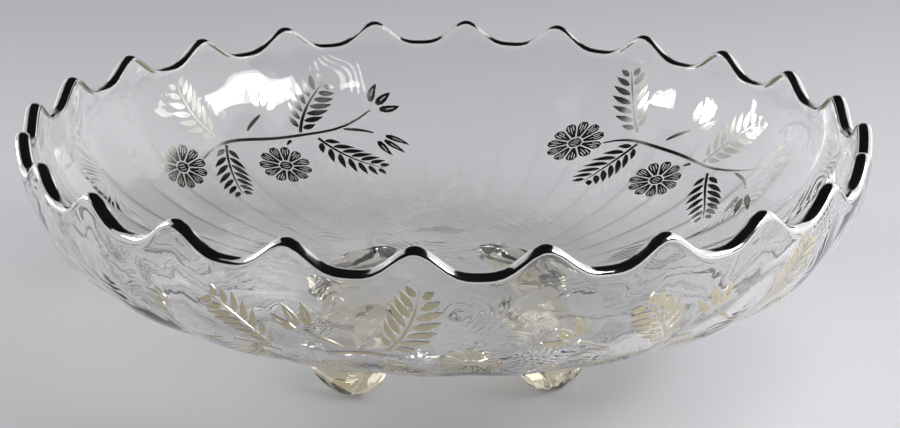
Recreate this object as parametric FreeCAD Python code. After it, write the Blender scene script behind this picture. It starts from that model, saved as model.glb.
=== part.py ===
import FreeCAD, Part
import math
import os

# Four-footed pressed glass bowl with a scalloped lip, a silver band over the
# lip and sprays of silver film on the inside of the wall.
# Millimetres, +Z up, origin on the table under the middle of the bowl.
# The creases between the lobes stand at 0, 15, 30 ... degrees.

# Driving sizes of the bowl
lip_radius = 150.0
lip_thickness = 5.2
lip_rise = 1.2
lip_crest_height = 92.0
wave_height = 8.6
scallop_count = 24
crest_sharpness = 1.7

# Glass below the lip
base_radius = 60.0
underside_height = 24.0
bottom_thickness = 5.4
belly_radius = 124.0
belly_rise = 6.2
shoulder_height = 50.5
wall_thickness = 4.4
inner_belly_share = 0.8
crease_depth = 2.0

# Feet
foot_count = 4
foot_radius = 40.0
foot_flare = 13.0
foot_width = 34.0
foot_depth = 16.0
foot_rib_count = 7
foot_rib_depth = 0.7
first_foot_angle = 45.0

# Silver
silver_thickness = 0.25
silver_seat_gap = 0.15
band_drop_outside = 0.5
band_drop_inside = 0.5

# Sprays of silver film in two pairs, measured on the wall
spray_pair_angles = (80.5, 277.3)
far_pair_spacing = 186.0
near_pair_spacing = 128.0
spray_drop = 42.0
spray_length = 104.0
spray_rise = 40.0
stem_width = 1.6
film_gap = 0.45
film_tip_width = 0.24

# Blossoms, buds and leaves
blossom_radius = 11.0
blossom_eye_radius = 2.8
blossom_petal_width = 4.35
blossom_petal_count = 11
bud_length = 9.0
bud_petal_width = 3.2
bud_petal_spread = 24.0
leaf_length = 28.0
leaflet_length = 9.6
leaflet_width = 2.55
leaflet_pair_count = 7
leaflet_angle = 58.0
leaflet_bend = 18.0

# Working values
sewing_tolerance = 0.01
lobe_step_count = 10
wall_step_count = 12
lip_step_count = 6
stem_step_count = 8
petal_step_count = 5
eye_step_count = 4
rib_point_count = 8
profile_sample_count = 240
halving_count = 50

# Shape of the wall
lobe_angle = 360.0 / scallop_count
lip_half = lip_thickness / 2
floor_height = underside_height + bottom_thickness
lip_edge_height = lip_crest_height - lip_rise
silver_face = silver_seat_gap + silver_thickness
outer_profile = (
    (base_radius, underside_height),
    (belly_radius, underside_height + belly_rise),
    (lip_radius + lip_half, shoulder_height),
    (lip_radius + lip_half, lip_edge_height),
)
inner_profile = (
    (base_radius - wall_thickness / 2, floor_height),
    (belly_radius - wall_thickness, floor_height + belly_rise * inner_belly_share),
    (lip_radius - lip_half, shoulder_height + wall_thickness / 2),
    (lip_radius - lip_half, lip_edge_height),
)

# How far a crease stands in, as shares of its depth, from base to lip
crease_shares = (0.45, 0.8, 1.0, 1.0, 0.85, 0.3, 0.0)

# Outline of a foot: height, width, depth and flare, as shares, from the table up
foot_level_shares = (
    (0.0, 0.3, 0.34, 0.95),
    (0.05, 0.42, 0.44, 0.98),
    (0.17, 0.64, 0.64, 1.0),
    (0.34, 0.88, 0.86, 0.95),
    (0.56, 1.0, 1.0, 0.72),
    (0.78, 1.0, 1.0, 0.36),
    (1.0, 0.95, 0.95, 0.0),
)

# Half widths of film strips along their length, as shares of half the full width
stem_shares = (0.5, 0.9, 1.0, 0.9, 0.7, 0.5)
petal_shares = (0.3, 0.5, 0.72, 0.93, 1.0, 0.5)
rib_shares = (0.9, 0.8, 0.7, 0.55, 0.4, 0.1)
leaflet_shares = (0.3, 0.82, 1.0, 0.86, 0.5, 0.1)
bud_shares = (0.5, 1.0, 0.95, 0.62, 0.12)
eye_shares = (0.3, 0.78, 1.0, 0.78, 0.3)
leaf_outline_shares = (0.62, 0.9, 1.0, 0.92, 0.72, 0.44)

# Stems of a spray: four guide points each, as shares of its length and rise
stem_path_shares = (
    ((-0.32, -0.1), (-0.1, 0.22), (0.14, -0.36), (0.49, 0.16)),
    ((-0.08, 0.0), (-0.06, 0.14), (-0.01, 0.2), (0.02, 0.25)),
    ((0.115, -0.1), (0.107, -0.11), (0.097, -0.125), (0.08, -0.155)),
    ((0.3, -0.02), (0.36, -0.03), (0.42, -0.06), (0.46, -0.12)),
)

# Middles of the blossoms, as shares of the spray's length and rise
blossom_place_shares = ((-0.43, -0.14), (0.02, -0.43))

# Buds: foot of the bud as shares of the spray's length and rise, and its direction
bud_places = (
    (0.5, 0.18, 34.0),
    (0.03, 0.27, 62.0),
    (0.47, -0.16, -58.0),
)

# Leaves: foot of the leaf as shares of length and rise, direction and bend
leaf_places = (
    (-0.2, 0.08, 132.0, -30.0),
    (-0.17, 0.0, 244.0, 20.0),
    (0.16, -0.06, 64.0, -26.0),
    (0.22, -0.1, 296.0, 28.0),
)


def bezier(points, t):
    """Point at t on the Bezier curve that four guide points give."""
    weights = ((1 - t) ** 3, 3 * t * (1 - t) ** 2, 3 * t ** 2 * (1 - t), t ** 3)
    return tuple(sum(w * p[axis] for w, p in zip(weights, points)) for axis in (0, 1))


def share_along(shares, t):
    """Value between the shares of a table, read evenly along it."""
    place = min(max(t, 0), 1) * (len(shares) - 1)
    index = min(int(place), len(shares) - 2)
    mix = place - index
    smooth = mix * mix * (3 - 2 * mix)
    return shares[index] * (1 - smooth) + shares[index + 1] * smooth


def lip_edge(angle):
    """Height where the wall meets the rounded lip, at an angle from a crest."""
    swing = (1 + math.cos(math.radians(scallop_count * angle))) / 2
    return lip_edge_height - wave_height * (1 - swing ** crest_sharpness)


def reach(profile, height):
    """Bezier parameter where a wall profile comes up to a height."""
    low, high = 0.0, 1.0
    for _ in range(halving_count):
        middle = (low + high) / 2
        if bezier(profile, middle)[1] < height:
            low = middle
        else:
            high = middle
    return high


def at_angle(radius, height, degrees):
    """Vector at a radius, a height and an angle about the bowl's axis."""
    turn = math.radians(degrees)
    return FreeCAD.Vector(radius * math.cos(turn), radius * math.sin(turn), height)


def crease(angle, t):
    """How far the outside stands in from the crown of a lobe."""
    across = 2 * abs(angle) / lobe_angle
    return crease_depth * across ** 2 * share_along(crease_shares, t)


def outside_point(angle, share):
    """Point of the outside of the wall, at a share of the way up to the lip."""
    top = reach(outer_profile, lip_edge(angle))
    radius, height = bezier(outer_profile, top * share)
    return (radius - crease(angle, share), height)


def inside_point(angle, share):
    """Point of the inside of the wall, at a share of the way up to the lip."""
    top = reach(inner_profile, lip_edge(angle))
    return bezier(inner_profile, top * share)


def outer_row(angle):
    """Points up the outside of the wall, as radius and height."""
    return [outside_point(angle, step / wall_step_count) for step in range(wall_step_count + 1)]


def inner_row(angle):
    """Points down the inside of the wall, as radius and height."""
    return [inside_point(angle, 1 - step / wall_step_count) for step in range(wall_step_count + 1)]


def lip_row(angle, lift=0):
    """Points over the rounded lip, from the outside to the inside."""
    outside, height = outside_point(angle, 1)
    inside = inside_point(angle, 1)[0]
    half = (outside - inside) / 2 + lift
    rise = lip_rise + lift
    row = []
    for step in range(lip_step_count + 1):
        turn = math.pi * step / lip_step_count
        row.append(((outside + inside) / 2 + half * math.cos(turn), height + rise * math.sin(turn)))
    return row


def band_row(angle, lift):
    """Points of the band's section: up the outside, over the lip, down the inside."""
    here = lip_edge(angle)
    half_step = lobe_angle / lobe_step_count / 2
    climb = lip_edge(angle + half_step) - lip_edge(angle - half_step)
    slope = climb / (math.radians(2 * half_step) * lip_radius)
    stretch = math.sqrt(1 + slope ** 2)
    low = here - band_drop_outside * stretch
    share = reach(outer_profile, low) / reach(outer_profile, here)
    radius, height = outside_point(angle, share)
    start = (radius + lift, height)
    low = here - band_drop_inside * stretch
    share = reach(inner_profile, low) / reach(inner_profile, here)
    radius, height = inside_point(angle, share)
    end = (radius - lift, height)
    return [start] + lip_row(angle, lift) + [end]


def curve_through(points):
    """Smooth curve through points at even steps of its parameter."""
    steps = len(points) - 1
    curve = Part.BSplineCurve()
    curve.interpolate(Points=points, Parameters=[step / steps for step in range(steps + 1)])
    return curve


def surface_through(grid):
    """Smooth surface through a grid of points, so that equal edge rows give equal edges."""
    across = [curve_through(list(row)) for row in zip(*grid)]
    along = [curve_through(list(poles)) for poles in zip(*(curve.getPoles() for curve in across))]
    surface = Part.BSplineSurface()
    surface.buildFromPolesMultsKnots(
        [curve.getPoles() for curve in along],
        across[0].getMultiplicities(), along[0].getMultiplicities(),
        across[0].getKnots(), along[0].getKnots(),
        False, False, across[0].Degree, along[0].Degree,
    )
    return surface


def lobe_patch(row_function, lobe):
    """Smooth surface over one lobe, through the rows at steps across it."""
    grid = []
    for step in range(lobe_step_count + 1):
        angle = lobe_angle * (step / lobe_step_count - 1 / 2)
        turn = lobe_angle * (lobe + 1 / 2) + angle
        grid.append([at_angle(radius, height, turn) for radius, height in row_function(angle)])
    return surface_through(grid)


def end_edge(surface, last):
    """Edge across a lobe, at the first or the last point of its rows."""
    first_v, last_v = surface.bounds()[2:]
    return surface.vIso(last_v if last else first_v).toShape()


def closed_solid(faces):
    """Solid inside faces that meet at their edges."""
    shell = Part.makeShell(faces)
    shell.sewShape(sewing_tolerance)
    solid = Part.makeSolid(Part.Shell(shell.Faces))
    if solid.Volume < 0:
        solid.reverse()
    return solid


def glass_bowl():
    """The pressed glass: lobed wall, rounded wavy lip and flat bottom."""
    faces = []
    underside_edges = []
    floor_edges = []
    for lobe in range(scallop_count):
        outside = lobe_patch(outer_row, lobe)
        lip = lobe_patch(lip_row, lobe)
        inside = lobe_patch(inner_row, lobe)
        faces += [surface.toShape() for surface in (outside, lip, inside)]
        underside_edges.append(end_edge(outside, last=False))
        floor_edges.append(end_edge(inside, last=True))
    faces.append(Part.Face(Part.Wire(underside_edges)))
    faces.append(Part.Face(Part.Wire(floor_edges)))
    return closed_solid(faces)


def silver_rim_band():
    """Skin of silver over the lip, a little way down each side."""
    faces = []
    for lobe in range(scallop_count):
        front = lobe_patch(lambda angle: band_row(angle, silver_face), lobe)
        back = lobe_patch(lambda angle: band_row(angle, silver_seat_gap), lobe)
        faces += [front.toShape(), back.toShape()]
        for last in (False, True):
            faces.append(Part.makeRuledSurface(end_edge(front, last), end_edge(back, last)))
    return closed_solid(faces)


def foot_section(level):
    """Closed outline of a foot at one level, ribbed on its outward side."""
    height_share, width_share, depth_share, flare_share = level
    half_width = foot_width * width_share / 2
    half_depth = foot_depth * depth_share / 2
    middle = foot_radius + foot_flare * flare_share
    points = []
    point_count = rib_point_count * foot_rib_count
    for index in range(point_count):
        turn = 2 * math.pi * index / point_count
        side = half_width * math.sin(turn)
        out = half_depth * math.cos(turn)
        if math.cos(turn) > 0:
            rib = math.cos(foot_rib_count * turn) * math.cos(turn)
            out += foot_rib_depth * depth_share * rib
        points.append(FreeCAD.Vector(middle + out, side, underside_height * height_share))
    curve = Part.BSplineCurve()
    curve.interpolate(points, PeriodicFlag=True)
    return Part.Wire(curve.toShape())


def glass_foot(angle):
    """One shell-shaped foot, flat where it meets the bowl and the table."""
    foot = Part.makeLoft([foot_section(level) for level in foot_level_shares], True)
    foot.rotate(FreeCAD.Vector(0, 0, 0), FreeCAD.Vector(0, 0, 1), angle)
    return foot


class WallChart:
    """Flat chart of the inside wall: x to the right seen from inside, y up the wall."""

    def __init__(self, angle):
        self.angle = angle
        self.heights = []
        walked = 0.0
        last = bezier(inner_profile, 1)
        for step in range(profile_sample_count + 1):
            point = bezier(inner_profile, 1 - step / profile_sample_count)
            walked += math.dist(point, last)
            self.heights.append((walked, point))
            last = point

    def section_at(self, down):
        """Point of the wall's inside at a distance down it, and its run to the next sample."""
        index = next(i for i, (walked, _) in enumerate(self.heights) if walked >= down)
        above, high = self.heights[index - 1]
        below, low = self.heights[index]
        mix = (down - above) / (below - above)
        radius = high[0] + (low[0] - high[0]) * mix
        height = high[1] + (low[1] - high[1]) * mix
        return radius, height, (high[0] - low[0], high[1] - low[1])

    def radius_at(self, down):
        """Radius of the wall's inside at a distance down it."""
        return self.section_at(down)[0]

    def place(self, x, y, lift):
        """Point of the wall at a place of the chart, lifted off the glass."""
        radius, height, run = self.section_at(spray_drop - y)
        upward, inward = (part / math.hypot(*run) for part in run)
        turn = self.angle - math.degrees(x / radius)
        return at_angle(radius - inward * lift, height + upward * lift, turn)

    def strip(self, path, width, shares):
        """Thin solid of film along a path of the chart, with a width that varies."""
        surfaces = []
        for lift in (silver_face, silver_seat_gap):
            grid = []
            for index, (x, y) in enumerate(path):
                before = path[max(index - 1, 0)]
                after = path[min(index + 1, len(path) - 1)]
                run = math.dist(before, after)
                across = ((before[1] - after[1]) / run, (after[0] - before[0]) / run)
                half = max(width * share_along(shares, index / (len(path) - 1)), film_tip_width) / 2
                row = [self.place(x + across[0] * half * side, y + across[1] * half * side, lift)
                       for side in (-1, 0, 1)]
                grid.append(row)
            surfaces.append(surface_through(grid))
        front, back = surfaces
        faces = [front.toShape(), back.toShape()]
        faces += [Part.makeRuledSurface(one, other) for one, other in zip(outline(front), outline(back))]
        return closed_solid(faces)


def outline(surface):
    """The four edges of a surface patch."""
    first_u, last_u, first_v, last_v = surface.bounds()
    curves = (surface.uIso(first_u), surface.uIso(last_u), surface.vIso(first_v), surface.vIso(last_v))
    return [curve.toShape() for curve in curves]


def on_spray(place_shares):
    """Chart place from shares of the spray's length and rise."""
    return (place_shares[0] * spray_length, place_shares[1] * spray_rise)


def guide_path(guides, steps):
    """Chart path along a Bezier curve."""
    return [bezier(guides, step / steps) for step in range(steps + 1)]


def arm(start, direction, length, bend, steps):
    """Chart path from a start in a direction that turns evenly on the way."""
    path = [start]
    for step in range(steps):
        turn = math.radians(direction + bend * (step + 1 / 2) / steps)
        x, y = path[-1]
        path.append((x + math.cos(turn) * length / steps, y + math.sin(turn) * length / steps))
    return path


def away(start, direction, distance):
    """Chart place at a distance from a start in a direction."""
    turn = math.radians(direction)
    return (start[0] + math.cos(turn) * distance, start[1] + math.sin(turn) * distance)


def spray_stem(chart):
    """Main stem and its short branches, which start clear of it."""
    strips = []
    for number, guides in enumerate(stem_path_shares):
        path = guide_path([on_spray(guide) for guide in guides], stem_step_count)
        clear_of_stem = 0 if number == 0 else 2
        strips.append(chart.strip(path[clear_of_stem:], stem_width, stem_shares))
    return strips


def spray_leaves(chart):
    """Feathered leaves: a rib with pairs of leaflets that shorten to the tip."""
    strips = []
    for x_share, y_share, direction, bend in leaf_places:
        foot = away(on_spray((x_share, y_share)), direction, stem_width / 2 + film_gap)
        rib = arm(foot, direction, leaf_length, bend, 2 * leaflet_pair_count)
        strips.append(chart.strip(rib, stem_width, rib_shares))
        for pair in range(leaflet_pair_count):
            place = rib[2 * pair + 1]
            heading = direction + bend * (pair + 1 / 2) / leaflet_pair_count
            length = leaflet_length * share_along(leaf_outline_shares, pair / (leaflet_pair_count - 1))
            for side in (-1, 1):
                start = away(place, heading + side * leaflet_angle, stem_width / 2 + film_gap)
                inturn = -side * leaflet_bend
                path = arm(start, heading + side * leaflet_angle, length, inturn, petal_step_count)
                strips.append(chart.strip(path, leaflet_width, leaflet_shares))
    return strips


def spray_blossoms(chart):
    """Open blossoms: petals round an eye."""
    strips = []
    for place_shares in blossom_place_shares:
        middle = on_spray(place_shares)
        eye = arm(away(middle, 180, blossom_eye_radius), 0, 2 * blossom_eye_radius, 0, eye_step_count)
        strips.append(chart.strip(eye, 2 * blossom_eye_radius, eye_shares))
        inner = blossom_eye_radius + film_gap
        for petal in range(blossom_petal_count):
            direction = 360.0 * petal / blossom_petal_count
            start = away(middle, direction, inner)
            path = arm(start, direction, blossom_radius - inner, 0, petal_step_count)
            strips.append(chart.strip(path, blossom_petal_width, petal_shares))
    return strips


def spray_buds(chart):
    """Closed buds of three petals."""
    strips = []
    for x_share, y_share, direction in bud_places:
        foot = on_spray((x_share, y_share))
        for side in (-1, 0, 1):
            heading = direction + side * bud_petal_spread * 2
            start = away(foot, heading, bud_petal_width)
            inturn = -side * bud_petal_spread
            path = arm(start, heading + inturn / 2, bud_length, inturn, petal_step_count)
            strips.append(chart.strip(path, bud_petal_width, bud_shares))
    return strips


def spray(number, angle):
    """The four nodes of one spray of silver film."""
    chart = WallChart(angle)
    return {
        f"spray_{number}_stem": Part.Compound(spray_stem(chart)),
        f"spray_{number}_leaves": Part.Compound(spray_leaves(chart)),
        f"spray_{number}_blossoms": Part.Compound(spray_blossoms(chart)),
        f"spray_{number}_buds": Part.Compound(spray_buds(chart)),
    }


def build():
    """Every node of the bowl by name."""
    nodes = {"glass_bowl": glass_bowl(), "silver_rim_band": silver_rim_band()}
    for number in range(foot_count):
        angle = first_foot_angle + 360.0 * number / foot_count
        nodes[f"glass_foot_{number + 1}"] = glass_foot(angle)
    number = 0
    spray_reach = WallChart(0).radius_at(spray_drop)
    for pair_angle, spacing in zip(spray_pair_angles, (far_pair_spacing, near_pair_spacing)):
        half_turn = math.degrees(spacing / spray_reach) / 2
        for angle in (pair_angle - half_turn, pair_angle + half_turn):
            number += 1
            nodes.update(spray(number, angle))
    return nodes


os.makedirs("parts", exist_ok=True)
for name, shape in build().items():
    print(name, "valid" if shape.isValid() else "NOT VALID", len(shape.Solids), round(shape.Volume, 1))
    shape.exportStep(f"parts/{name}.step")
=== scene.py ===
"""Looks of a four-footed pressed glass bowl with a silver lip and sprays of silver film.

Every length is in metres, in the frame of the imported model: +Z up, the origin on the
table under the middle of the bowl, and a crease between two lobes on +X.
"""

import bisect
import logging
import math
from dataclasses import dataclass, field
from enum import Enum
from functools import lru_cache
from typing import Callable, Iterable, Sequence

import bmesh
import bpy
from mathutils import Matrix, Vector


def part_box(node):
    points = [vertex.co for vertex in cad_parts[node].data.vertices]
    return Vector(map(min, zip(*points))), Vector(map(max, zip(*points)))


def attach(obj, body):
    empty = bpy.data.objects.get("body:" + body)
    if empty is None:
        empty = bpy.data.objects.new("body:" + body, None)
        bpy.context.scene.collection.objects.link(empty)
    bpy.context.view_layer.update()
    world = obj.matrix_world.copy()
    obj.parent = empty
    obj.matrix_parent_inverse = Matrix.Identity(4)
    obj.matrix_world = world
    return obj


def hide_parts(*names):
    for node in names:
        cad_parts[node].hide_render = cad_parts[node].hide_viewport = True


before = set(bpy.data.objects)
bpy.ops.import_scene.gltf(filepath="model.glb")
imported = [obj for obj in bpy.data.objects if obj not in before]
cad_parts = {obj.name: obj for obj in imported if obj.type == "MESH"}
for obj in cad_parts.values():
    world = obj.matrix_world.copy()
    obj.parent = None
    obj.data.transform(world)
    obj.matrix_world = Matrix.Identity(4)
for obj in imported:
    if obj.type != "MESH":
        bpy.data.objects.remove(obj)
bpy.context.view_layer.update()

MM = 0.001
BODY = "root"
GROOVE_PAINTED_REFLECTION = "groove"
STATION = "station"
# Stations either side of the lip's outer edge, where the outside of the wall ends
LIP_STATIONS = (0.98, 1.02)
# Halvings of a span, enough to find a height to far less than a micron
HALVINGS = 40
log = logging.getLogger("bowl")

Pair = tuple[float, float]
Section = Callable[[float, float], Pair]


def linear(hex_colour: str, alpha: float = 1.0) -> tuple[float, float, float, float]:
    """Turn an sRGB hex colour to linear light.

    Args:
        hex_colour: Colour such as "C9C2A3".
        alpha: Opacity that goes with it.

    Returns:
        Linear red, green, blue and alpha.
    """
    channels = []
    for start in (0, 2, 4):
        value = int(hex_colour[start:start + 2], 16) / 255
        channels.append(value / 12.92 if value <= 0.04045 else ((value + 0.055) / 1.055) ** 2.4)
    return (channels[0], channels[1], channels[2], alpha)


def bezier(points: Sequence[Pair], t: float) -> Pair:
    """Find a point of a Bezier curve.

    Args:
        points: Four guide points.
        t: Place along the curve, from 0 to 1.

    Returns:
        The point at t.
    """
    weights = ((1 - t) ** 3, 3 * t * (1 - t) ** 2, 3 * t ** 2 * (1 - t), t ** 3)
    return (sum(w * p[0] for w, p in zip(weights, points)), sum(w * p[1] for w, p in zip(weights, points)))


def share_along(shares: Sequence[float], t: float) -> float:
    """Read a table of shares evenly along its length.

    Args:
        shares: Values at even steps.
        t: Place along the table, from 0 to 1.

    Returns:
        The smoothly blended value.
    """
    place = min(max(t, 0.0), 1.0) * (len(shares) - 1)
    index = min(int(place), len(shares) - 2)
    mix = place - index
    smooth = mix * mix * (3 - 2 * mix)
    return shares[index] * (1 - smooth) + shares[index + 1] * smooth


class NodeBuilder:
    """Something whose look is a node tree."""

    tree: bpy.types.NodeTree

    def node(self, kind: str, links: dict | None = None, **settings: object) -> bpy.types.Node:
        """Add a node with its settings and links.

        Args:
            kind: Blender's name of the node.
            links: Input name or index to the socket that feeds it.
            settings: Node attributes, or input values under their lower-case names.

        Returns:
            The new node.
        """
        made = self.tree.nodes.new(kind)
        sockets = {socket.name.lower().replace(" ", "_"): socket for socket in reversed(made.inputs)}
        for key, value in settings.items():
            if key in sockets:
                sockets[key].default_value = value
            else:
                setattr(made, key, value)
        for key, source in (links or {}).items():
            self.tree.links.new(source, made.inputs[key])
        return made

    def blend(self, factor: bpy.types.NodeSocket, first: str, second: str) -> bpy.types.NodeSocket:
        """Blend two hex colours by a factor."""
        mix = self.node("ShaderNodeMix", {"Factor": factor}, data_type="RGBA")
        mix.inputs[6].default_value = linear(first)
        mix.inputs[7].default_value = linear(second)
        return mix.outputs[2]


class Finish(NodeBuilder):
    """A material that is built once and shared by its pieces."""

    name = "finish"

    def __init__(self) -> None:
        """Make the empty material and keep its node tree."""
        self.material = bpy.data.materials.new(self.name)
        self.material.use_nodes = True
        self.tree = self.material.node_tree
        self.tree.nodes.clear()
        self.node("ShaderNodeOutputMaterial", {"Surface": self.dress().outputs[0]})

    def noise(self, length: float, detail: float, **settings: float) -> bpy.types.NodeSocket:
        """Add noise with features of a length in metres, fixed to the piece."""
        place = self.node("ShaderNodeTexCoord").outputs["Object"]
        return self.node(
            "ShaderNodeTexNoise", {"Vector": place}, scale=1 / length, detail=detail, **settings).outputs["Fac"]

    def dress(self) -> bpy.types.Node:
        """Build the nodes of the finish and return its shader."""
        raise NotImplementedError


@dataclass(frozen=True)
class GlassLook:
    """Clear soda-lime glass pressed in a mould and fire polished."""

    colour: str = "FBFBFA"
    # Painted reflection of the fired film: a straw tone put into the glass colour along each groove
    painted_groove_reflection_tone: str = "574D2E"
    ior: float = 1.52
    roughness: float = 0.0
    # Chill waves and ripples of a pressing, which bend what is seen through the wall
    wave_length: float = 20 * MM
    wave_height: float = 0.5 * MM
    ripple_length: float = 4 * MM
    ripple_height: float = 0.015 * MM
    # Chill wrinkles: fine lines like the contours of a map, in clouds
    wrinkle_field: float = 34 * MM
    wrinkle_count: float = 26.0
    wrinkle_height: float = 0.032 * MM
    cloud_length: float = 42 * MM
    # Noise values between which a cloud fades in
    cloud_range: Pair = (0.45, 0.58)
    # The plunger leaves the inside smoother than the mould leaves the outside
    inside_share: float = 0.05
    # Light that this glass lets through to the table, straight and at a grazing angle
    shade: str = "E8E8E6"
    edge_shade: str = "8C8D8C"
    edge_blend: float = 0.35


class PressedGlass(Finish):
    """Pressed soda-lime glass: clear, glossy, its surface slightly wavy from the mould."""

    name = "pressed_soda_lime_glass"
    look = GlassLook()

    def dress(self) -> bpy.types.Node:
        """Build clear glass with waves, ripples, wrinkles and a painted straw reflection along the grooves."""
        look = self.look
        large = self.node("ShaderNodeBump", {"Height": self.noise(look.wave_length, 1.0)}, distance=look.wave_height)
        small = self.node(
            "ShaderNodeBump", {"Height": self.noise(look.ripple_length, 2.0), "Normal": large.outputs[0]},
            distance=look.ripple_height)
        relief = self.noise(look.wrinkle_field, 1.0, roughness=0.35)
        turns = self.node("ShaderNodeMath", {0: relief}, operation="MULTIPLY")
        turns.inputs[1].default_value = look.wrinkle_count * math.tau
        contours = self.node("ShaderNodeMath", {0: turns.outputs[0]}, operation="SINE")
        cover = self.node(
            "ShaderNodeMapRange", {"Value": self.noise(look.cloud_length, 1.0)}, interpolation_type="SMOOTHSTEP",
            from_min=look.cloud_range[0], from_max=look.cloud_range[1], to_min=0.0, to_max=1.0)
        side = self.node("ShaderNodeAttribute", attribute_name=STATION)
        smooth = self.node(
            "ShaderNodeMapRange", {"Value": side.outputs["Fac"]}, from_min=LIP_STATIONS[0],
            from_max=LIP_STATIONS[1], to_min=1.0, to_max=look.inside_share)
        outside = self.node("ShaderNodeMath", {0: cover.outputs[0], 1: smooth.outputs[0]}, operation="MULTIPLY")
        wrinkles = self.node(
            "ShaderNodeMath", {0: contours.outputs[0], 1: outside.outputs[0]}, operation="MULTIPLY")
        fine = self.node(
            "ShaderNodeBump", {"Height": wrinkles.outputs[0], "Normal": small.outputs[0]},
            distance=look.wrinkle_height)
        # Painted reflection: the groove attribute blends the glass colour towards the film's straw tone along the
        # grooves
        groove = self.node("ShaderNodeAttribute", attribute_name=GROOVE_PAINTED_REFLECTION)
        tone = self.blend(groove.outputs["Fac"], look.colour, look.painted_groove_reflection_tone)
        glass = self.node(
            "ShaderNodeBsdfPrincipled", {"Normal": fine.outputs[0], "Base Color": tone},
            roughness=look.roughness, ior=look.ior, transmission_weight=1.0)
        # Lamps shine through the glass, so that it throws a light shadow
        path = self.node("ShaderNodeLightPath")
        facing = self.node("ShaderNodeLayerWeight", blend=look.edge_blend)
        shade = self.blend(facing.outputs["Facing"], look.shade, look.edge_shade)
        clear = self.node("ShaderNodeBsdfTransparent", {"Color": shade})
        return self.node(
            "ShaderNodeMixShader", {0: path.outputs["Is Shadow Ray"], 1: glass.outputs[0], 2: clear.outputs[0]})


class FootGlassPaintedReflection(PressedGlass):
    """The same glass where it is thick, with a painted reflection of the fired film: its straw tone put into the
    glass colour.
    """

    name = "pressed_soda_lime_glass_foot"
    # colour F0E8CF is a painted reflection: the fired film's straw tone put into the foot's glass
    look = GlassLook(colour="F0E8CF", wave_length=9 * MM, ripple_height=0.07 * MM, wrinkle_height=0.03 * MM)


class JoinedGlass(Finish):
    """Where foot and bowl are one run of glass: light goes straight on."""

    name = "joined_glass"

    def dress(self) -> bpy.types.Node:
        """Build a face that neither bends nor dims light."""
        return self.node("ShaderNodeBsdfTransparent", color=linear("FFFFFF"))


@dataclass(frozen=True)
class SilverLook:
    """Silver plated onto a fired film and polished."""

    bright: str = "FBFBFA"
    dull: str = "ECEBE8"
    smooth_roughness: float = 0.08
    worn_roughness: float = 0.19
    wear_length: float = 9 * MM
    # Values of the wear noise between smooth and worn
    wear_range: Pair = (0.35, 0.75)
    buff_length: float = 2.2 * MM
    buff_height: float = 0.004 * MM


class PolishedSilver(Finish):
    """Electroplated silver: a mirror with faint buffing marks and a few duller clouds."""

    name = "electroplated_silver"
    look = SilverLook()

    def dress(self) -> bpy.types.Node:
        """Build bright metal whose gloss and colour drift a little."""
        look = self.look
        wear = self.noise(look.wear_length, 4.0)
        colour = self.blend(wear, look.bright, look.dull)
        gloss = self.node(
            "ShaderNodeMapRange", {"Value": wear}, from_min=look.wear_range[0],
            from_max=look.wear_range[1], to_min=look.smooth_roughness, to_max=look.worn_roughness)
        marks = self.node("ShaderNodeBump", {"Height": self.noise(look.buff_length, 3.0)}, distance=look.buff_height)
        return self.node(
            "ShaderNodeBsdfPrincipled",
            {"Base Color": colour, "Roughness": gloss.outputs[0], "Normal": marks.outputs[0]},
            metallic=1.0)


class SilverFilm(PolishedSilver):
    """Silver film that is only lightly polished, so that its gloss is softer than the band's."""

    name = "polished_silver_film"
    look = SilverLook(bright="F1EFEA", dull="DDDAD2", smooth_roughness=0.14, worn_roughness=0.3)


@dataclass(frozen=True)
class SilverBackLook:
    """Glass side of the fired film."""

    pale: str = "F8EDCB"
    deep: str = "EADCAE"
    roughness: float = 0.42
    grain_length: float = 1.6 * MM


class SilverBack(Finish):
    """Fired silver film seen through the glass: a matt straw colour with a fine mottle."""

    name = "fired_silver_glass_side"
    look = SilverBackLook()

    def dress(self) -> bpy.types.Node:
        """Build the mottled straw colour."""
        look = self.look
        colour = self.blend(self.noise(look.grain_length, 5.0), look.pale, look.deep)
        return self.node("ShaderNodeBsdfPrincipled", {"Base Color": colour}, roughness=look.roughness)


class StudioPaper(Finish):
    """Pale matt paper under the bowl."""

    name = "studio_paper"
    colour = "D4D4D9"
    roughness = 0.7

    def dress(self) -> bpy.types.Node:
        """Build the plain matt paper."""
        return self.node("ShaderNodeBsdfPrincipled", base_color=linear(self.colour), roughness=self.roughness)


@dataclass
class Finishes:
    """Every finish of the bowl."""

    glass: Finish = field(default_factory=PressedGlass)
    foot_glass: Finish = field(default_factory=FootGlassPaintedReflection)
    join: Finish = field(default_factory=JoinedGlass)
    silver: Finish = field(default_factory=PolishedSilver)
    film: Finish = field(default_factory=SilverFilm)
    silver_back: Finish = field(default_factory=SilverBack)


class Piece:
    """Shared work of every visible piece: its mesh, its materials and its place on the frame."""

    def finish_piece(self, name: str, mesh: bmesh.types.BMesh, finishes: Sequence[Finish],
                     slot: str, nodes: Iterable[str], sharp_angle: float = 35.0) -> bpy.types.Object:
        """Turn a mesh into a finished object that stands for CAD nodes.

        Args:
            name: Name of the piece.
            mesh: The modelled mesh, which is freed here.
            finishes: Finishes in the order of the faces' material numbers.
            slot: Material slot of the record; not used.
            nodes: CAD nodes that the piece replaces.
            sharp_angle: Edges that turn more than this, in degrees, stay crisp.

        Returns:
            The finished object.
        """
        data = bpy.data.meshes.new(name)
        for face in mesh.faces:
            face.smooth = True
        mesh.to_mesh(data)
        mesh.free()
        data.set_sharp_from_angle(angle=math.radians(sharp_angle))
        for finish in finishes:
            data.materials.append(finish.material)
        piece = bpy.data.objects.new(name, data)
        bpy.context.scene.collection.objects.link(piece)
        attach(piece, BODY)
        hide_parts(*nodes)
        log.info("%s: %d faces", name, len(data.polygons))
        return piece


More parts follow.
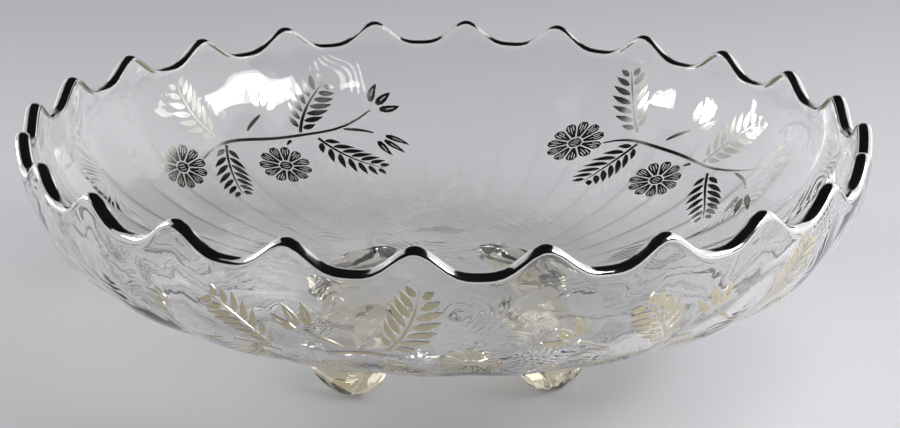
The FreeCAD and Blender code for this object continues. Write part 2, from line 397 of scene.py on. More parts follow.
@dataclass(frozen=True)
class WallShape:
    """Sizes of the glass wall and the surfaces that they give."""

    crest_height: float
    underside_height: float
    lip_radius: float = 150.0 * MM
    lip_thickness: float = 5.2 * MM
    lip_rise: float = 2.0 * MM
    wave_height: float = 8.6 * MM
    crest_sharpness: float = 1.7
    scallop_count: int = 24
    base_radius: float = 60.0 * MM
    bottom_thickness: float = 5.4 * MM
    belly_radius: float = 124.0 * MM
    belly_rise: float = 6.2 * MM
    shoulder_height: float = 50.5 * MM
    wall_thickness: float = 4.4 * MM
    inner_belly_share: float = 0.8
    crease_depth: float = 0.6 * MM
    crease_shares: tuple[float, ...] = (0.45, 0.8, 1.0, 1.0, 0.85, 0.3, 0.0)
    # Shallow grooves along each crease and each lobe's middle, which show as lines through the glass by refraction
    # and by the painted straw reflection along them
    groove_depth: float = 0.035 * MM
    groove_half_angle: float = 0.75
    groove_steepness: float = 1.6
    groove_shares: tuple[float, ...] = (0.6, 1.0, 1.0, 0.85, 0.4, 0.05, 0.0, 0.0)
    # Both faces sway in a little at each crease, which breaks up what they mirror
    sway_depth: float = 2.0 * MM
    sway_shares: tuple[float, ...] = (0.0, 0.2, 0.45, 0.75, 1.0, 0.6, 0.0)

    @property
    def lobe_angle(self) -> float:
        """Turn of one lobe, in degrees."""
        return 360.0 / self.scallop_count

    @property
    def floor_height(self) -> float:
        """Height of the inside of the flat bottom."""
        return self.underside_height + self.bottom_thickness

    @property
    def lip_edge_height(self) -> float:
        """Height at a crest where the wall meets the rounded lip."""
        return self.crest_height - self.lip_rise

    @property
    def outer_profile(self) -> tuple[Pair, ...]:
        """Guide points of the outside, from the base to the lip."""
        outside = self.lip_radius + self.lip_thickness / 2
        return (
            (self.base_radius, self.underside_height),
            (self.belly_radius, self.underside_height + self.belly_rise),
            (outside, self.shoulder_height),
            (outside, self.lip_edge_height),
        )

    @property
    def inner_profile(self) -> tuple[Pair, ...]:
        """Guide points of the inside, from the bottom to the lip."""
        inside = self.lip_radius - self.lip_thickness / 2
        return (
            (self.base_radius - self.wall_thickness / 2, self.floor_height),
            (self.belly_radius - self.wall_thickness, self.floor_height + self.belly_rise * self.inner_belly_share),
            (inside, self.shoulder_height + self.wall_thickness / 2),
            (inside, self.lip_edge_height),
        )

    def local_angle(self, degrees: float) -> float:
        """Angle from the middle of the lobe that holds a direction."""
        return (degrees % self.lobe_angle) - self.lobe_angle / 2

    def lip_edge(self, local: float) -> float:
        """Height of the wall's top edge at an angle from a crest."""
        swing = (1 + math.cos(math.radians(self.scallop_count * local))) / 2
        return self.lip_edge_height - self.wave_height * (1 - swing ** self.crest_sharpness)

    @lru_cache(maxsize=None)
    def reach(self, inside: bool, height: float) -> float:
        """Bezier parameter where a profile comes up to a height."""
        profile = self.inner_profile if inside else self.outer_profile
        low, high = 0.0, 1.0
        for _ in range(HALVINGS):
            middle = (low + high) / 2
            if bezier(profile, middle)[1] < height:
                low = middle
            else:
                high = middle
        return high

    def across(self, local: float) -> float:
        """Share of the way from the middle of a lobe to its crease."""
        return 2 * abs(local) / self.lobe_angle

    def groove(self, local: float, share: float) -> float:
        """Depth of the nearest groove, as a share of its full depth."""
        edge = min(self.lobe_angle / 2 - abs(local), abs(local)) / self.groove_half_angle
        level = min(max(self.groove_steepness * (1 - edge), 0.0), 1.0)
        return level * share_along(self.groove_shares, share)

    def sway(self, local: float, share: float) -> float:
        """Distance that both faces stand in, a share of the way up to the lip."""
        swing = (1 - math.cos(math.radians(self.scallop_count * local))) / 2
        return self.sway_depth * swing * share_along(self.sway_shares, share)

    def outside(self, local: float, share: float) -> Pair:
        """Radius and height of the outside, a share of the way up to the lip."""
        top = self.reach(False, round(self.lip_edge(local), 7))
        radius, height = bezier(self.outer_profile, top * share)
        crease = self.crease_depth * self.across(local) ** 2 * share_along(self.crease_shares, share)
        groove = self.groove_depth * self.groove(local, share)
        return (radius - crease - groove - self.sway(local, share), height)

    def inside(self, local: float, share: float) -> Pair:
        """Radius and height of the inside, a share of the way up to the lip."""
        top = self.reach(True, round(self.lip_edge(local), 7))
        radius, height = bezier(self.inner_profile, top * share)
        return (radius - self.sway(local, share), height)

    def lip(self, local: float, share: float, lift: float = 0.0) -> Pair:
        """Radius and height over the rounded lip, a share of the way inwards."""
        outside, height = self.outside(local, 1.0)
        inside = self.inside(local, 1.0)[0]
        half = (outside - inside) / 2 + lift
        turn = math.pi * share
        rise = self.lip_rise + lift
        return ((outside + inside) / 2 + half * math.cos(turn), height + rise * math.sin(turn))


class SpunPiece(Piece):
    """A ring that is spun from one section and then waved lobe by lobe."""

    # Places of the columns across half a lobe, crowded at the grooves
    column_shares = (0.0, 0.045, 0.09, 0.22, 0.36, 0.5, 0.64, 0.78, 0.91, 0.955, 1.0)

    def spin_section(self, section: Section, stations: Sequence[float], wall: WallShape,
                     closed: bool) -> bmesh.types.BMesh:
        """Spin a section round the axis and move each point to its lobe's own section.

        Args:
            section: Radius and height for a local angle and a station.
            stations: Stations of the section, in order.
            wall: Shape that sets the number of lobes.
            closed: Whether the last station joins the first.

        Returns:
            The ring, with a station value on each vertex.
        """
        mesh = bmesh.new()
        layer = mesh.verts.layers.float.new(STATION)
        verts = []
        for station in stations:
            radius, height = section(0.0, station)
            vert = mesh.verts.new((radius, 0.0, height))
            vert[layer] = station
            verts.append(vert)
        pairs = list(zip(verts, verts[1:]))
        if closed:
            pairs.append((verts[-1], verts[0]))
        edges = [mesh.edges.new(pair) for pair in pairs]
        half_count = len(self.column_shares) - 1
        bmesh.ops.spin(
            mesh, geom=verts + edges, cent=(0, 0, 0), axis=(0, 0, 1), dvec=(0, 0, 0),
            angle=math.tau, steps=2 * half_count * wall.scallop_count, use_merge=True)
        half_lobe = wall.lobe_angle / 2
        known: dict[tuple[float, float], Pair] = {}
        for vert in mesh.verts:
            column = round(math.degrees(math.atan2(vert.co.y, vert.co.x)) / half_lobe * half_count)
            lobe, place = divmod(column, 2 * half_count)
            side = place - half_count
            local = math.copysign(self.column_shares[abs(side)] * half_lobe, side)
            if (local, vert[layer]) not in known:
                known[local, vert[layer]] = section(local, vert[layer])
            radius, height = known[local, vert[layer]]
            turn = math.radians((2 * lobe + 1) * half_lobe + local)
            vert.co = (radius * math.cos(turn), radius * math.sin(turn), height)
        return mesh


@dataclass
class GlassBowl(SpunPiece):
    """The pressed bowl: lobed wall, wavy lip, flat bottom with shallow moulded rings."""

    wall: WallShape
    finishes: Finishes
    feet: Sequence["GlassFoot"] = ()
    wall_steps: int = 44
    lip_steps: int = 12
    floor_steps: int = 10
    floor_ring_height: float = 0.35 * MM
    floor_ring_count: int = 5
    # Rings fade out this little before the middle
    floor_ring_reach: float = 1.02
    weld_distance: float = 0.001 * MM
    # Painted reflection of the film's straw tone in the grooves: full at the two ends, faint front and back
    painted_reflection_base_share: float = 0.06
    painted_reflection_side_power: int = 4

    def section(self, local: float, station: float) -> Pair:
        """Radius and height of the glass, by station.

        Args:
            local: Angle from the middle of a lobe.
            station: 0 to 1 up the outside, 1 to 2 over the lip, 2 to 3 down the
                inside and 3 to 4 across the bottom to its middle.

        Returns:
            Radius and height.
        """
        if station <= 1:
            return self.wall.outside(local, station)
        if station <= 2:
            return self.wall.lip(local, station - 1)
        if station <= 3:
            return self.wall.inside(local, 3 - station)
        share = 4 - station
        radius, height = self.wall.inside(local, 0.0)
        fade = math.sin(math.pi * min(share * self.floor_ring_reach, 1.0))
        ring = fade * math.cos(share * self.floor_ring_count * math.tau) / 2
        return (max(radius * share, 0.0), height - self.floor_ring_height * ring * share ** 2)

    def build(self) -> bpy.types.Object:
        """Model the bowl and give it its glass."""
        stations = [step / self.wall_steps for step in range(self.wall_steps)]
        stations += [1 + step / self.lip_steps for step in range(self.lip_steps)]
        stations += [2 + step / self.wall_steps for step in range(self.wall_steps)]
        stations += [3 + step / self.floor_steps for step in range(self.floor_steps + 1)]
        mesh = self.spin_section(self.section, stations, self.wall, closed=False)
        bmesh.ops.remove_doubles(mesh, verts=mesh.verts, dist=self.weld_distance)
        station, groove = mesh.verts.layers.float[STATION], mesh.verts.layers.float.new(GROOVE_PAINTED_REFLECTION)
        for vert in mesh.verts:
            if 0 < vert[station] < 1:
                turn = math.atan2(vert.co.y, vert.co.x)
                local = self.wall.local_angle(math.degrees(turn))
                # Painted reflection weight: the groove's depth share times a side weight that peaks towards +X and
                # -X
                painted_reflection_weight = self.painted_reflection_base_share + (1 - self.painted_reflection_base_share) * math.cos(turn) ** self.painted_reflection_side_power
                vert[groove] = self.wall.groove(local, vert[station]) * painted_reflection_weight
        ring = [edge for edge in mesh.edges if edge.is_boundary]
        footprints = [foot.top_ring(mesh) for foot in self.feet]
        loops = ring + [edge for footprint in footprints for edge in footprint]
        bmesh.ops.triangle_fill(mesh, edges=loops, use_beauty=True, normal=(0, 0, -1))
        for footprint in footprints:
            patch = bmesh.ops.contextual_create(mesh, geom=footprint)["faces"]
            for face in patch:
                face.material_index = 1
        bmesh.ops.recalc_face_normals(mesh, faces=mesh.faces)
        return self.finish_piece(
            "pressed_glass_bowl", mesh, (self.finishes.glass, self.finishes.join), "bowl_glass", ["glass_bowl"])


@dataclass
class GlassFoot(Piece):
    """One shell-shaped foot with ribs on its outward face."""

    number: int
    wall: WallShape
    finishes: Finishes
    radius: float = 40.0 * MM
    flare: float = 13.0 * MM
    width: float = 34.0 * MM
    depth: float = 16.0 * MM
    rib_count: int = 7
    rib_depth: float = 0.7 * MM
    first_angle: float = 45.0
    foot_count: int = 4
    points_per_rib: int = 14
    levels: int = 22
    crowding: float = 1.6
    # Height, width, depth and flare, as shares, from the table up
    level_shares: tuple[tuple[float, float, float, float], ...] = (
        (0.0, 0.3, 0.34, 0.95),
        (0.05, 0.47, 0.47, 0.98),
        (0.17, 0.74, 0.7, 1.0),
        (0.34, 0.97, 0.9, 0.95),
        (0.56, 1.0, 1.0, 0.72),
        (0.78, 1.0, 1.0, 0.36),
        (1.0, 0.95, 0.95, 0.0),
    )

    def level(self, height_share: float) -> tuple[float, float, float, float]:
        """Blend the table of levels at one height.

        Args:
            height_share: Share of the foot's height, from the table up.

        Returns:
            The height, width, depth and flare shares.
        """
        rows = self.level_shares
        index = next(i for i, row in enumerate(rows[1:]) if height_share <= row[0])
        low, high = rows[index], rows[index + 1]
        before, after = rows[max(index - 1, 0)], rows[min(index + 2, len(rows) - 1)]
        step = high[0] - low[0]
        mix = (height_share - low[0]) / step
        blend = [height_share]
        for last, start, end, coming in list(zip(before, low, high, after))[1:]:
            leave = (end - last) * step / (high[0] - before[0])
            arrive = (coming - start) * step / (after[0] - low[0])
            climb = end - start
            blend.append(start + mix * (leave + mix * (
                3 * climb - 2 * leave - arrive + mix * (leave + arrive - 2 * climb))))
        return (blend[0], blend[1], blend[2], blend[3])

    def outline_point(self, turn: float, height_share: float) -> Vector:
        """Find a point of the foot's side.

        Args:
            turn: Angle round the foot, 0 outwards.
            height_share: Share of the foot's height, from the table up.

        Returns:
            The point in the frame.
        """
        height, width, depth, flare = self.level(height_share)
        side = self.width * width / 2 * math.sin(turn)
        out = self.depth * depth / 2 * math.cos(turn)
        if math.cos(turn) > 0:
            out += self.rib_depth * depth * math.cos(self.rib_count * turn) * math.cos(turn)
        point = Vector((self.radius + self.flare * flare + out, side, self.wall.underside_height * height))
        angle = math.radians(self.first_angle + 360.0 * self.number / self.foot_count)
        return Matrix.Rotation(angle, 3, "Z") @ point

    def top_ring(self, mesh: bmesh.types.BMesh) -> list[bmesh.types.BMEdge]:
        """Draw the foot's top outline into a mesh, with each point's turn kept on it.

        Args:
            mesh: Mesh that receives the outline.

        Returns:
            The outline's edges.
        """
        count = self.points_per_rib * self.rib_count
        layer = mesh.verts.layers.float.get("turn") or mesh.verts.layers.float.new("turn")
        ring = bmesh.ops.create_circle(mesh, segments=count, radius=self.depth)["verts"]
        for vert in ring:
            vert[layer] = math.atan2(vert.co.y, vert.co.x)
            vert.co = self.outline_point(vert[layer], 1.0)
        return list({edge for vert in ring for edge in vert.link_edges})

    def build(self) -> bpy.types.Object:
        """Model the foot and give it its glass."""
        mesh = bmesh.new()
        edges = top = self.top_ring(mesh)
        layer = mesh.verts.layers.float["turn"]
        for step in range(1, self.levels + 1):
            made = bmesh.ops.extrude_edge_only(mesh, edges=edges)["geom"]
            ring = {item for item in made if isinstance(item, bmesh.types.BMVert)}
            edges = [item for item in made if isinstance(item, bmesh.types.BMEdge) and ring.issuperset(item.verts)]
            for vert in ring:
                vert.co = self.outline_point(vert[layer], (1 - step / self.levels) ** self.crowding)
        bmesh.ops.contextual_create(mesh, geom=edges)
        for face in bmesh.ops.contextual_create(mesh, geom=top)["faces"]:
            face.material_index = 1
        bmesh.ops.recalc_face_normals(mesh, faces=mesh.faces)
        name = f"glass_foot_{self.number + 1}"
        return self.finish_piece(
            f"pressed_{name}", mesh, (self.finishes.foot_glass, self.finishes.join), "foot_glass", [name])


@dataclass
class SilverBand(SpunPiece):
    """Silver over the lip, a little way down the outside and not quite to the inner edge."""

    wall: WallShape
    finishes: Finishes
    thickness: float = 0.25 * MM
    drop_outside: float = 0.2 * MM
    # Share of the rounded lip that the silver covers, from the outside inwards
    inner_cover: float = 0.8
    inner_lap: float = 0.02
    lip_steps: int = 14
    side_steps: int = 2
    # Half the angle, in degrees, over which the lip's slope is measured
    slope_reach: float = 0.04
    # Keeps the first station of the glass side apart from the last of the face
    station_offset: float = 1e-6

    def section(self, local: float, station: float) -> Pair:
        """Radius and height of the band's skin.

        Args:
            local: Angle from the middle of a lobe.
            station: 0 to 3 over the face, outside, lip and its inner end; 3 to 6
                back again under it, against the glass.

        Returns:
            Radius and height.
        """
        lift = self.thickness if station <= 3 else 0.0
        way = station if station <= 3 else 6 - station
        if way < 1:
            reach = self.slope_reach
            climb = self.wall.lip_edge(local + reach) - self.wall.lip_edge(local - reach)
            slope = climb / (math.radians(2 * reach) * self.wall.lip_radius)
            edge = self.wall.lip_edge(local)
            height = edge - self.drop_outside * math.sqrt(1 + slope ** 2) * (1 - way)
            share = self.wall.reach(False, round(height, 7)) / self.wall.reach(False, round(edge, 7))
            radius, height = self.wall.outside(local, share)
            return (radius + lift, height)
        if way <= 2:
            return self.wall.lip(local, (way - 1) * self.inner_cover, lift)
        return self.wall.lip(local, self.inner_cover + (way - 2) * self.inner_lap, lift)

    def build(self) -> bpy.types.Object:
        """Model the band and give it silver, with its glass side straw coloured."""
        way = [step / self.side_steps for step in range(self.side_steps)]
        way += [1 + step / self.lip_steps for step in range(self.lip_steps)]
        way += [2 + step / self.side_steps for step in range(self.side_steps + 1)]
        stations = way + [6 - place - self.station_offset for place in reversed(way)]
        mesh = self.spin_section(self.section, stations, self.wall, closed=True)
        bmesh.ops.recalc_face_normals(mesh, faces=mesh.faces)
        layer = mesh.verts.layers.float[STATION]
        for face in mesh.faces:
            if all(vert[layer] > 3 for vert in face.verts):
                face.material_index = 1
        return self.finish_piece(
            "plated_silver_band", mesh, (self.finishes.silver, self.finishes.silver_back),
            "silver", ["silver_rim_band"])


class SprayPart(Enum):
    """Kinds of film in a spray, by the name of their CAD node."""

    STEM = "stem"
    LEAVES = "leaves"
    BLOSSOMS = "blossoms"
    BUDS = "buds"


@dataclass(frozen=True)
class Strip:
    """A strip of film: its path on the chart, its width and how the width runs."""

    path: tuple[Pair, ...]
    width: float
    shares: tuple[float, ...]
    # Fine lines left clear along the strip: how far across, and where they start and end
    slits: tuple[tuple[float, float, float], ...] = ()


@dataclass
class FilmSpray(Piece):
    """One spray of silver film on the inside wall: a stem with leaves, blossoms and buds."""

    number: int
    angle: float
    wall: WallShape
    finishes: Finishes
    thickness: float = 0.25 * MM
    drop: float = 42.0 * MM
    length: float = 104.0 * MM
    rise: float = 40.0 * MM
    gap: float = 0.45 * MM
    tip_width: float = 0.24 * MM
    slit_width: float = 0.36 * MM
    stem_width: float = 1.6 * MM
    blossom_radius: float = 11.0 * MM
    eye_radius: float = 2.8 * MM
    petal_width: float = 4.35 * MM
    petal_count: int = 11
    bud_length: float = 9.0 * MM
    bud_petal_width: float = 3.2 * MM
    bud_spread: float = 24.0
    leaf_length: float = 28.0 * MM
    leaflet_length: float = 9.6 * MM
    leaflet_width: float = 2.55 * MM
    leaflet_pair_count: int = 7
    leaflet_angle: float = 58.0
    leaflet_bend: float = 18.0
    profile_steps: int = 240
    # The film rises from the glass toward a point over the bowl, at this share of the crests' height
    lift_centre_share: float = 1.4

    # Slits, widths along a strip, and places, all as shares of the piece that they belong to
    petal_slits = ((0.0, 0.3, 0.78), (-0.5, 0.55, 0.86), (0.5, 0.55, 0.86))
    bud_slits = ((0.0, 0.25, 0.72),)
    eye_slits = ((0.0, 0.2, 0.8), (-0.5, 0.3, 0.7), (0.5, 0.3, 0.7))
    stem_shares = (0.5, 0.9, 1.0, 0.9, 0.7, 0.5)
    petal_shares = (0.3, 0.5, 0.72, 0.93, 1.0, 0.5)
    rib_shares = (0.9, 0.8, 0.7, 0.55, 0.4, 0.1)
    leaflet_shares = (0.3, 0.82, 1.0, 0.86, 0.5, 0.1)
    bud_shares = (0.5, 1.0, 0.95, 0.62, 0.12)
    eye_shares = (0.3, 0.78, 1.0, 0.78, 0.3)
    leaf_outline_shares = (0.62, 0.9, 1.0, 0.92, 0.72, 0.44)
    stem_path_shares = (
        ((-0.32, -0.1), (-0.1, 0.22), (0.14, -0.36), (0.49, 0.16)),
        ((-0.08, 0.0), (-0.06, 0.14), (-0.01, 0.2), (0.02, 0.25)),
        ((0.115, -0.1), (0.107, -0.11), (0.097, -0.125), (0.08, -0.155)),
        ((0.3, -0.02), (0.36, -0.03), (0.42, -0.06), (0.46, -0.12)),
    )
    blossom_place_shares = ((-0.43, -0.14), (0.02, -0.43))
    bud_places = ((0.5, 0.18, 34.0), (0.03, 0.27, 62.0), (0.47, -0.16, -58.0))
    leaf_places = (
        (-0.2, 0.08, 132.0, -30.0),
        (-0.17, 0.0, 244.0, 20.0),
        (0.16, -0.06, 64.0, -26.0),
        (0.22, -0.1, 296.0, 28.0),
    )

    def __post_init__(self) -> None:
        """Walk down the inside profile once, so that the chart can be read quickly."""
        self.walked: list[float] = [0.0]
        self.steps: list[Pair] = [bezier(self.wall.inner_profile, 1.0)]
        for step in range(1, self.profile_steps + 1):
            point = bezier(self.wall.inner_profile, 1 - step / self.profile_steps)
            self.walked.append(self.walked[-1] + math.dist(point, self.steps[-1]))
            self.steps.append(point)

    def on_wall(self, x: float, y: float, lift: float) -> Vector:
        """Find a place of the flat chart on the curved wall.

        Args:
            x: Distance to the right, seen from inside.
            y: Distance up the wall.
            lift: Distance off the glass.

        Returns:
            The point in the frame.
        """
        down = self.drop - y
        index = bisect.bisect(self.walked, down)
        high, low = Vector(self.steps[index - 1]), Vector(self.steps[index])
        mix = (down - self.walked[index - 1]) / (self.walked[index] - self.walked[index - 1])
        spot = high.lerp(low, mix)
        turn = math.radians(self.angle) - x / spot.x
        run = (high - low).normalized()
        local = self.wall.local_angle(math.degrees(turn))
        top = self.wall.reach(True, round(self.wall.lip_edge(local), 7))
        climbed = (1 - (index - 1 + mix) / self.profile_steps) / top
        radius = spot.x - run.y * lift - self.wall.sway(local, climbed)
        return Vector((radius * math.cos(turn), radius * math.sin(turn), spot.y + run.x * lift))

    def place(self, shares: Sequence[float]) -> Pair:
        """Chart place from shares of the spray's length and rise."""
        return (shares[0] * self.length, shares[1] * self.rise)

    @staticmethod
    def away(start: Pair, direction: float, distance: float) -> Pair:
        """Chart place at a distance from a start in a direction."""
        turn = math.radians(direction)
        return (start[0] + math.cos(turn) * distance, start[1] + math.sin(turn) * distance)

    def arm(self, start: Pair, direction: float, length: float, bend: float, steps: int) -> tuple[Pair, ...]:
        """Chart path from a start in a direction that turns evenly.

        Args:
            start: First place.
            direction: Heading in degrees.
            length: Length of the path.
            bend: Turn along it, in degrees.
            steps: Number of steps.

        Returns:
            The places of the path.
        """
        path = [start]
        for step in range(steps):
            path.append(self.away(path[-1], direction + bend * (step + 0.5) / steps, length / steps))
        return tuple(path)

    def stem(self) -> list[Strip]:
        """Main stem and its short branches."""
        strips = []
        for number, guides in enumerate(self.stem_path_shares):
            places = [self.place(guide) for guide in guides]
            first = 0 if number == 0 else 4
            path = tuple(bezier(places, step / 16) for step in range(first, 17))
            strips.append(Strip(path, self.stem_width, self.stem_shares))
        return strips

    def leaves(self) -> list[Strip]:
        """Feathered leaves: a rib with pairs of leaflets that shorten to the tip."""
        strips = []
        for x_share, y_share, direction, bend in self.leaf_places:
            foot = self.away(self.place((x_share, y_share)), direction, self.stem_width / 2 + self.gap)
            rib = self.arm(foot, direction, self.leaf_length, bend, 2 * self.leaflet_pair_count)
            strips.append(Strip(rib, self.stem_width, self.rib_shares))
            for pair in range(self.leaflet_pair_count):
                heading = direction + bend * (pair + 0.5) / self.leaflet_pair_count
                outline = share_along(self.leaf_outline_shares, pair / (self.leaflet_pair_count - 1))
                for side in (-1, 1):
                    aim = heading + side * self.leaflet_angle
                    start = self.away(rib[2 * pair + 1], aim, self.stem_width / 2 + self.gap)
                    path = self.arm(start, aim, self.leaflet_length * outline, -side * self.leaflet_bend, 10)
                    strips.append(Strip(path, self.leaflet_width, self.leaflet_shares))
        return strips

    def blossoms(self) -> list[Strip]:
        """Open blossoms: petals round an eye."""
        strips = []
        inner = self.eye_radius + self.gap
        for shares in self.blossom_place_shares:
            middle = self.place(shares)
            eye = self.arm(self.away(middle, 180, self.eye_radius), 0, 2 * self.eye_radius, 0, 8)
            strips.append(Strip(eye, 2 * self.eye_radius, self.eye_shares, self.eye_slits))
            for petal in range(self.petal_count):
                direction = 360.0 * petal / self.petal_count
                start = self.away(middle, direction, inner)
                path = self.arm(start, direction, self.blossom_radius - inner, 0, 10)
                strips.append(Strip(path, self.petal_width, self.petal_shares, self.petal_slits))
        return strips

    def buds(self) -> list[Strip]:
        """Closed buds of three petals."""
        strips = []
        for x_share, y_share, direction in self.bud_places:
            foot = self.place((x_share, y_share))
            for side in (-1, 0, 1):
                heading = direction + side * self.bud_spread * 2
                start = self.away(foot, heading, self.bud_petal_width)
                inturn = -side * self.bud_spread
                path = self.arm(start, heading + inturn / 2, self.bud_length, inturn, 10)
                strips.append(Strip(path, self.bud_petal_width, self.bud_shares, self.bud_slits))
        return strips

    def add_strip(self, mesh: bmesh.types.BMesh, strip: Strip) -> None:
        """Lay one strip of film on the wall and give it its thickness.

        Args:
            mesh: Mesh that receives the film.
            strip: The strip to lay.
        """
        steps = len(strip.path) - 1
        slit_half = self.slit_width / strip.width
        rows = [-1.0, 1.0]
        for middle, _, _ in strip.slits:
            rows += [middle - slit_half, middle + slit_half]
        rows.sort()
        grid = bmesh.ops.create_grid(mesh, x_segments=steps, y_segments=len(rows) - 1, size=1.0)["verts"]
        clear = []
        for face in {face for vert in grid for face in vert.link_faces}:
            middle = face.calc_center_median()
            along = (middle.x + 1) / 2
            row = int((middle.y + 1) / 2 * (len(rows) - 1))
            across = (rows[row] + rows[row + 1]) / 2
            if any(abs(across - place) < slit_half and start < along < end for place, start, end in strip.slits):
                clear.append(face)
        for vert in grid:
            index = round((vert.co.x + 1) / 2 * steps)
            side = rows[round((vert.co.y + 1) / 2 * (len(rows) - 1))]
            x, y = strip.path[index]
            before = strip.path[max(index - 1, 0)]
            after = strip.path[min(index + 1, steps)]
            run = math.dist(before, after)
            half = max(strip.width * share_along(strip.shares, index / steps), self.tip_width) / 2
            x += (before[1] - after[1]) / run * half * side
            y += (after[0] - before[0]) / run * half * side
            vert.co = self.on_wall(x, y, 0.0)
        bmesh.ops.delete(mesh, geom=clear, context="FACES_ONLY")
        back = list({face for vert in grid if vert.is_valid for face in vert.link_faces})
        made = bmesh.ops.extrude_face_region(mesh, geom=back, use_keep_orig=True)["geom"]
        raised = [item for item in made if isinstance(item, bmesh.types.BMVert)]
        middle = Vector((0.0, 0.0, self.wall.crest_height * self.lift_centre_share))
        for vert in raised:
            vert.co += (middle - vert.co).normalized() * self.thickness
        for face in back:
            face.material_index = 1

    def build(self) -> list[bpy.types.Object]:
        """Model the four kinds of film and plate them."""
        makers = {
            SprayPart.STEM: self.stem,
            SprayPart.LEAVES: self.leaves,
            SprayPart.BLOSSOMS: self.blossoms,
            SprayPart.BUDS: self.buds,
        }
        pieces = []
        for part, maker in makers.items():
            mesh = bmesh.new()
            for strip in maker():
                self.add_strip(mesh, strip)
            bmesh.ops.recalc_face_normals(mesh, faces=mesh.faces)
            node = f"spray_{self.number}_{part.value}"
            pieces.append(self.finish_piece(
                f"film_{node}", mesh, (self.finishes.film, self.finishes.silver_back), "silver", [node]))
        return pieces


class Room(NodeBuilder):
    """The world: dark overhead and by the camera, with a grey sweep far behind the bowl."""

    dark = "111111"
    sweep = "C8C8CC"
    # Cosines to the back and downwards between which the sweep fades in
    back_range: Pair = (-0.1, 0.7)
    down_range: Pair = (-0.62, -0.12)

    def __init__(self, back: Vector) -> None:
        """Build the room.

        Args:
            back: Direction in which the camera looks over the bowl.
        """
        world = bpy.data.worlds.new("studio_room")
        bpy.context.scene.world = world
        world.use_nodes = True
        self.tree = world.node_tree
        way = self.node("ShaderNodeTexCoord").outputs["Generated"]
        shares = []
        for direction, (low, high) in ((back, self.back_range), (Vector((0.0, 0.0, -1.0)), self.down_range)):
            along = self.node("ShaderNodeVectorMath", {0: way}, operation="DOT_PRODUCT")
            along.inputs[1].default_value = direction
            shares.append(self.node(
                "ShaderNodeMapRange", {"Value": along.outputs["Value"]}, interpolation_type="SMOOTHSTEP",
                from_min=low, from_max=high).outputs[0])
        swept = self.node("ShaderNodeMath", dict(enumerate(shares)), operation="MULTIPLY")
        tone = self.blend(swept.outputs[0], self.dark, self.sweep)
        self.tree.links.new(tone, self.tree.nodes["Background"].inputs["Color"])


@dataclass(frozen=True)
class Lamp:
    """A softbox: place and direction as in the photograph, width and height, power in watts."""

    name: str
    spot: tuple[float, float, float]
    size: Pair
    power: float
    facing: tuple[float, float, float]
    # Whether surfaces show it, or it only adds light
    mirrored: bool = True

    def hang(self, turn: Matrix) -> bpy.types.Object:
        """Put the softbox up.

        Args:
            turn: Turn from the photograph's directions to the bowl's frame.

        Returns:
            The light.
        """
        data = bpy.data.lights.new(self.name, "AREA")
        data.shape = "RECTANGLE"
        data.size, data.size_y = self.size
        data.energy = self.power
        light = bpy.data.objects.new(self.name, data)
        bpy.context.scene.collection.objects.link(light)
        aim = (turn @ Vector(self.facing)).to_track_quat("-Z", "Y").to_matrix().to_4x4()
        light.matrix_world = Matrix.Translation(turn @ Vector(self.spot)) @ aim
        light.visible_camera = False
        light.visible_glossy = light.visible_transmission = self.mirrored
        return light


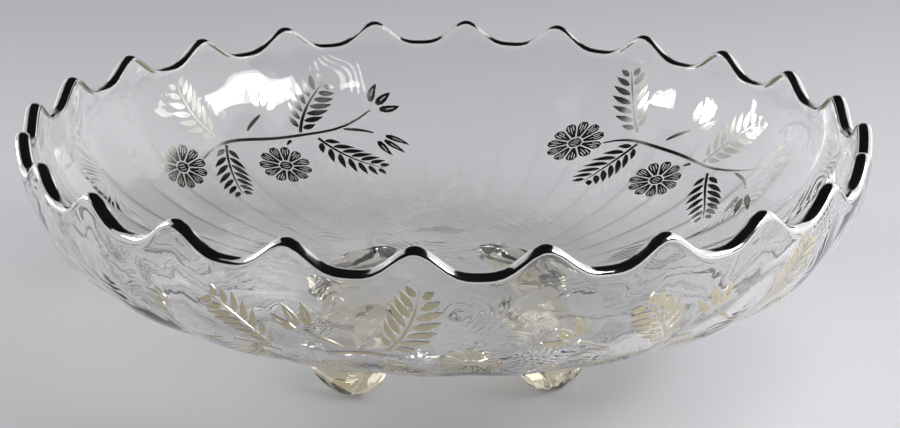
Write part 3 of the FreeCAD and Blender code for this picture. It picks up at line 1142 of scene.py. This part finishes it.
@dataclass
class Studio:
    """Floor, lights and camera of the photograph."""

    # Camera matched to the photograph: turn about the bowl, lens and place
    turn: float = -4.35
    lens: float = 88.04
    sensor: float = 36.0
    pitch: float = 17.873
    roll: float = 0.555
    camera_right: float = 2.13 * MM
    camera_back: float = 767.2 * MM
    camera_above_crests: float = 208.9 * MM
    floor_size: float = 6.0
    # Hung where the wall and the silver mirror them as the photograph shows
    lamps: tuple[Lamp, ...] = (
        Lamp("right_side_panel", (0.95, 0.65, 0.66), (2.2, 1.25), 7.0, (-1, 0, 0)),
        Lamp("left_side_panel", (-0.95, 0.65, 0.66), (2.2, 1.25), 4.2, (1, 0, 0)),
        Lamp("right_softbox", (0.9, -0.33, 0.66), (0.8, 0.4), 7.5, (-0.9, 0.33, -0.6)),
        Lamp("left_softbox", (-0.9, 0.1, 0.46), (0.3, 0.3), 3.4, (1, 0, 0)),
        Lamp("overhead_fill", (0.85, -0.45, 1.4), (1.3, 1.3), 13.5, (-0.5, 0.25, -1.0), mirrored=False),
    )

    @property
    def to_frame(self) -> Matrix:
        """Turn from the photograph's directions to the bowl's frame."""
        return Matrix.Rotation(math.radians(self.turn), 3, "Z")

    def placed(self, x: float, y: float, z: float) -> Vector:
        """Turn a place in the photograph's directions into the bowl's frame."""
        return self.to_frame @ Vector((x, y, z))

    def camera(self, crest_height: float) -> bpy.types.Object:
        """Set up the matched camera.

        Args:
            crest_height: Height of the lip's crests with their silver.

        Returns:
            The camera.
        """
        data = bpy.data.cameras.new("photo_camera")
        data.lens = self.lens
        data.sensor_width = self.sensor
        data.clip_end = 20.0
        camera = bpy.data.objects.new("photo_camera", data)
        bpy.context.scene.collection.objects.link(camera)
        pitch = math.radians(self.pitch)
        look = self.placed(0.0, math.cos(pitch), -math.sin(pitch))
        right = self.placed(1.0, 0.0, 0.0)
        up = right.cross(look)
        roll = math.radians(self.roll)
        rolled_right = right * math.cos(roll) + up * math.sin(roll)
        rolled_up = up * math.cos(roll) - right * math.sin(roll)
        turn = Matrix((rolled_right, rolled_up, -look)).transposed().to_4x4()
        spot = self.placed(self.camera_right, -self.camera_back, crest_height + self.camera_above_crests)
        camera.matrix_world = Matrix.Translation(spot) @ turn
        bpy.context.scene.camera = camera
        return camera

    def floor(self) -> bpy.types.Object:
        """Lay the pale paper that the bowl stands on."""
        mesh = bmesh.new()
        bmesh.ops.create_grid(mesh, x_segments=1, y_segments=1, size=self.floor_size / 2)
        data = bpy.data.meshes.new("studio_floor")
        mesh.to_mesh(data)
        mesh.free()
        floor = bpy.data.objects.new("studio_floor", data)
        bpy.context.scene.collection.objects.link(floor)
        data.materials.append(StudioPaper().material)
        return floor

    def build(self, crest_height: float) -> None:
        """Set up the whole studio.

        Args:
            crest_height: Height of the lip's crests with their silver.
        """
        bpy.context.scene.view_settings.view_transform = "Standard"
        Room(self.placed(0.0, 1.0, 0.0))
        self.floor()
        self.camera(crest_height)
        for lamp in self.lamps:
            lamp.hang(self.to_frame)
        log.info("studio: floor, room, camera and %d lamps", len(self.lamps))


def main() -> None:
    """Build every piece of the bowl and the studio round it."""
    logging.basicConfig(level=logging.INFO, format="%(name)s %(message)s")
    bowl_low, bowl_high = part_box("glass_bowl")
    band_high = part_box("silver_rim_band")[1]
    wall = WallShape(crest_height=bowl_high.z, underside_height=bowl_low.z)
    finishes = Finishes()
    feet = [GlassFoot(number, wall, finishes) for number in range(4)]
    GlassBowl(wall, finishes, feet).build()
    for foot in feet:
        foot.build()
    SilverBand(wall, finishes).build()
    for number, angle in enumerate((40.25, 120.75, 249.6, 305.0), start=1):
        FilmSpray(number, angle, wall, finishes).build()
    Studio().build(band_high.z)


if __name__ == "__main__":
    main()
